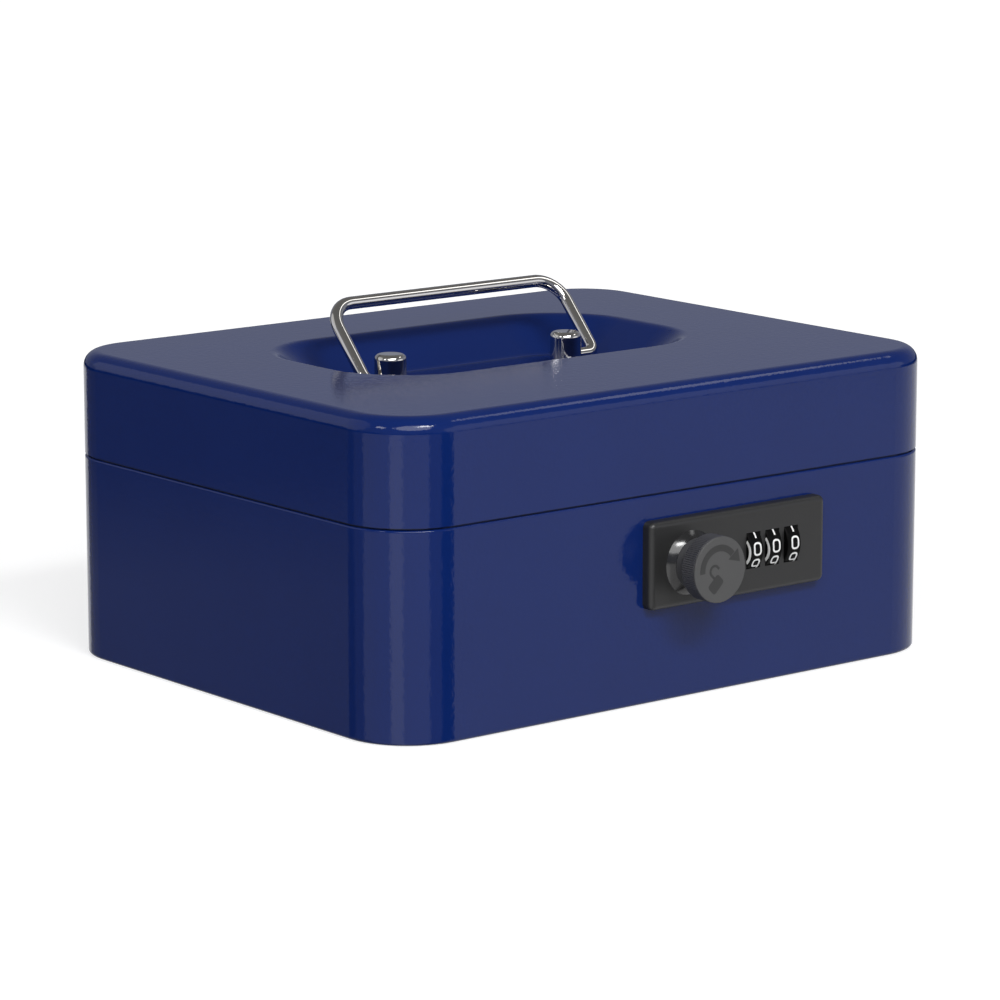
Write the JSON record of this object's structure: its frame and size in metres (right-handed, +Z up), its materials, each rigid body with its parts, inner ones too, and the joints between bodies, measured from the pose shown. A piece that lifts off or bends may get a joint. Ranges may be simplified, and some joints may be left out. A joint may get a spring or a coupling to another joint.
{
  "type": "cash box",
  "caption": "Rounded steel cash box with a hinged lid, a folding wire carry handle in a dished well, a dial combination lock with a turning knob, and a lift-out coin tray.",
  "frame": {"origin": "middle of the flat underside of the base", "axes": "+Z up, -Y towards the front wall with the lock, +X to the right along the front, hinges at +Y"},
  "size_m": [0.2, 0.1774, 0.1022],
  "materials": {
    "box_paint": "glossy baked enamel, dark blue",
    "chrome_wire": "bright chrome plate",
    "plate_black": "satin moulded plastic, black",
    "collar_black": "polished moulded plastic, black",
    "knob_black": "satin moulded plastic, black",
    "knob_grey": "flat grey disc",
    "dial_black": "moulded plastic, black, white numbers",
    "housing_black": "moulded plastic, black",
    "tray_black": "fine-textured moulded plastic, black",
    "plated_steel": "zinc-plated steel",
    "spring_steel": "bright spring steel",
    "gate_brass": "turned brass"
  },
  "bodies": {
    "base": {"base_shell": "box_paint", "hinge_leaf_base_left": "plated_steel", "hinge_leaf_base_right": "plated_steel", "hinge_pin_left": "plated_steel", "hinge_pin_right": "plated_steel", "hinge_rivets_base": "plated_steel", "tray_bracket_left": "box_paint", "tray_bracket_right": "box_paint", "lock_bezel": "plate_black", "knob_collar": "collar_black", "lock_housing": "housing_black", "lock_screws": "plated_steel", "dial_shaft": "plated_steel", "detent_spring": "spring_steel"},
    "lid": {"lid_shell": "box_paint", "hinge_leaf_lid_left": "plated_steel", "hinge_leaf_lid_right": "plated_steel", "hinge_rivets_lid": "plated_steel", "lid_strike": "plated_steel", "handle_post_left": "chrome_wire", "handle_post_right": "chrome_wire", "post_washers": "plated_steel"},
    "handle": {"carry_handle": "chrome_wire"},
    "knob": {"knob": "knob_black", "knob_face": "knob_grey", "knob_spindle": "plated_steel", "latch_cam": "plated_steel", "spindle_washer": "plated_steel", "spindle_nut": "plated_steel"},
    "locking_bar": {"locking_bar": "plated_steel"},
    "dial_1": {"dial_1": "dial_black", "dial_gate_1": "gate_brass"},
    "dial_2": {"dial_2": "dial_black", "dial_gate_2": "gate_brass"},
    "dial_3": {"dial_3": "dial_black", "dial_gate_3": "gate_brass"},
    "tray": {"coin_tray": "tray_black"}
  },
  "joints": [
    {"name": "lid_hinge", "type": "hinge", "parent": "base", "child": "lid", "pos_m": [0, 0.0812, 0.0584], "axis": [-1, 0, 0], "range_deg": [0, 100]},
    {"name": "bail_swing", "type": "hinge", "parent": "lid", "child": "handle", "pos_m": [0, 0.0103, 0.0806], "axis": [-1, 0, 0], "range_deg": [-127, 38.5]},
    {"name": "knob_turn", "type": "hinge", "parent": "base", "child": "knob", "pos_m": [0, -0.0825, 0.03855], "axis": [0, 1, 0], "range_deg": [0, 90]},
    {"name": "bar_slide", "type": "slide", "parent": "base", "child": "locking_bar", "axis": [0, -1, 0], "range_m": [0, 0.0012]},
    {"name": "dial_1_turn", "type": "hinge", "parent": "base", "child": "dial_1", "pos_m": [0.02285, -0.0766, 0.039], "axis": [1, 0, 0], "continuous": true},
    {"name": "dial_2_turn", "type": "hinge", "parent": "base", "child": "dial_2", "pos_m": [0.0299, -0.0766, 0.039], "axis": [1, 0, 0], "continuous": true},
    {"name": "dial_3_turn", "type": "hinge", "parent": "base", "child": "dial_3", "pos_m": [0.03695, -0.0766, 0.039], "axis": [1, 0, 0], "continuous": true},
    {"name": "tray_lift", "type": "slide", "parent": "base", "child": "tray", "axis": [0, 0, 1], "range_m": [0, 0.015]}
  ],
  "couplings": [
    {"joint": "bar_slide", "follows": "knob_turn", "m_per_rad": 0.000763}
  ]
}
